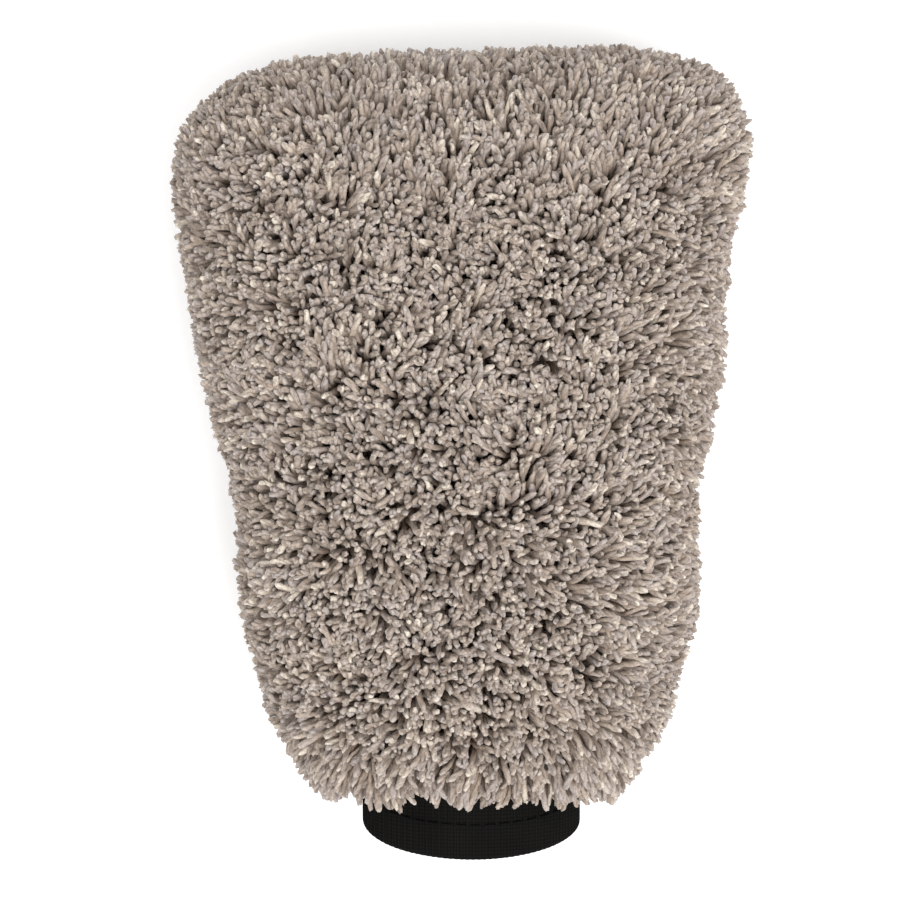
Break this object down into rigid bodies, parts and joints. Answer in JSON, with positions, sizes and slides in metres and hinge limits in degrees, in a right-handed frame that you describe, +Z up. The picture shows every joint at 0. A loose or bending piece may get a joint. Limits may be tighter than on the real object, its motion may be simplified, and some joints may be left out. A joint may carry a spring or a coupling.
{
  "type": "wash mitt",
  "caption": "Plush wash mitt for cars: a padded hand pocket covered in twisted microfibre pile, closed at the fingertips, with an elasticated knitted cuff.",
  "frame": {"origin": "on the surface the mitt lies on, under the middle of its length and width", "axes": "+Y from the cuff to the fingertips, +Z up from the surface, +X across the mitt"},
  "size_m": [0.2001, 0.283, 0.079],
  "materials": {
    "pile": "cut pile of twisted microfibre yarn",
    "backing": "warp-knitted backing",
    "foam": "open-cell foam",
    "liner": "smooth woven polyester",
    "tape": "woven tape",
    "thread": "sewing thread",
    "cuff": "ribbed knit",
    "elastic": "covered rubber elastic"
  },
  "bodies": {
    "root": {"upper_pile": "pile", "lower_pile": "pile", "upper_backing": "backing", "lower_backing": "backing", "upper_foam": "foam", "lower_foam": "foam", "upper_liner": "liner", "lower_liner": "liner", "shell_seam_tape": "tape", "liner_seam_tape": "tape", "liner_anchor_tapes": "tape", "shell_seam_stitches": "thread", "liner_seam_stitches": "thread", "wrist_binding": "tape", "wrist_seam_stitches": "thread", "cuff_knit": "cuff", "cuff_side_seam": "cuff", "cuff_elastic": "elastic", "cuff_hem_stitches": "thread"}
  },
  "joints": []
}
